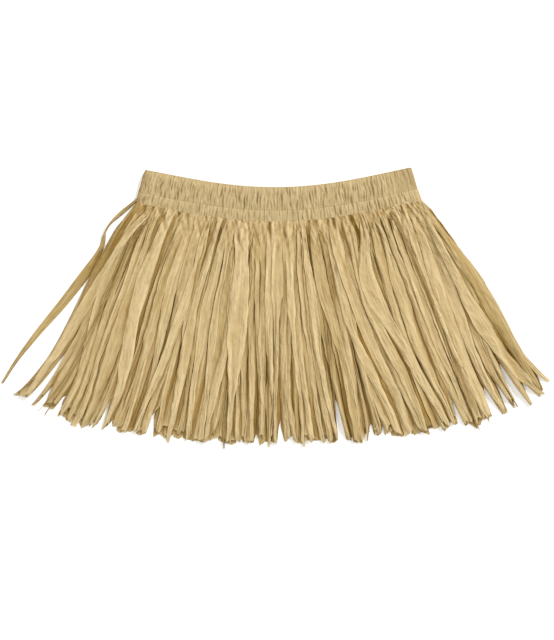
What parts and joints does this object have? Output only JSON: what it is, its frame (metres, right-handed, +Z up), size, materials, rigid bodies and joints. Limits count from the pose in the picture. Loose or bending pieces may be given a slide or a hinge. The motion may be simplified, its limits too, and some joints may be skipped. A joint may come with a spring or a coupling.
{
  "type": "grass skirt",
  "caption": "Gathered grass skirt laid flat: an elastic waistband casing, a gathered header and stacked layers of cloth slit into long narrow strips that fan out to an uneven hem.",
  "frame": {"origin": "middle of the skirt's outline as it lies flat, on the surface it rests on", "axes": "+X to the right along the waist, +Y from the hem towards the waist, +Z up off the surface"},
  "size_m": [0.6043, 0.312, 0.0106],
  "materials": {
    "casing_cloth": "matte straw-coloured nonwoven cloth, gathered",
    "strip_cloth": "matte straw-coloured nonwoven cloth, slit and crumpled lengthwise"
  },
  "bodies": {
    "root": {"waistband_casing": "casing_cloth", "gathered_header": "casing_cloth", "fringe_back_outer": "strip_cloth", "fringe_back_inner": "strip_cloth", "fringe_front_inner": "strip_cloth", "fringe_front_outer": "strip_cloth", "fringe_crossing": "strip_cloth"}
  },
  "joints": []
}
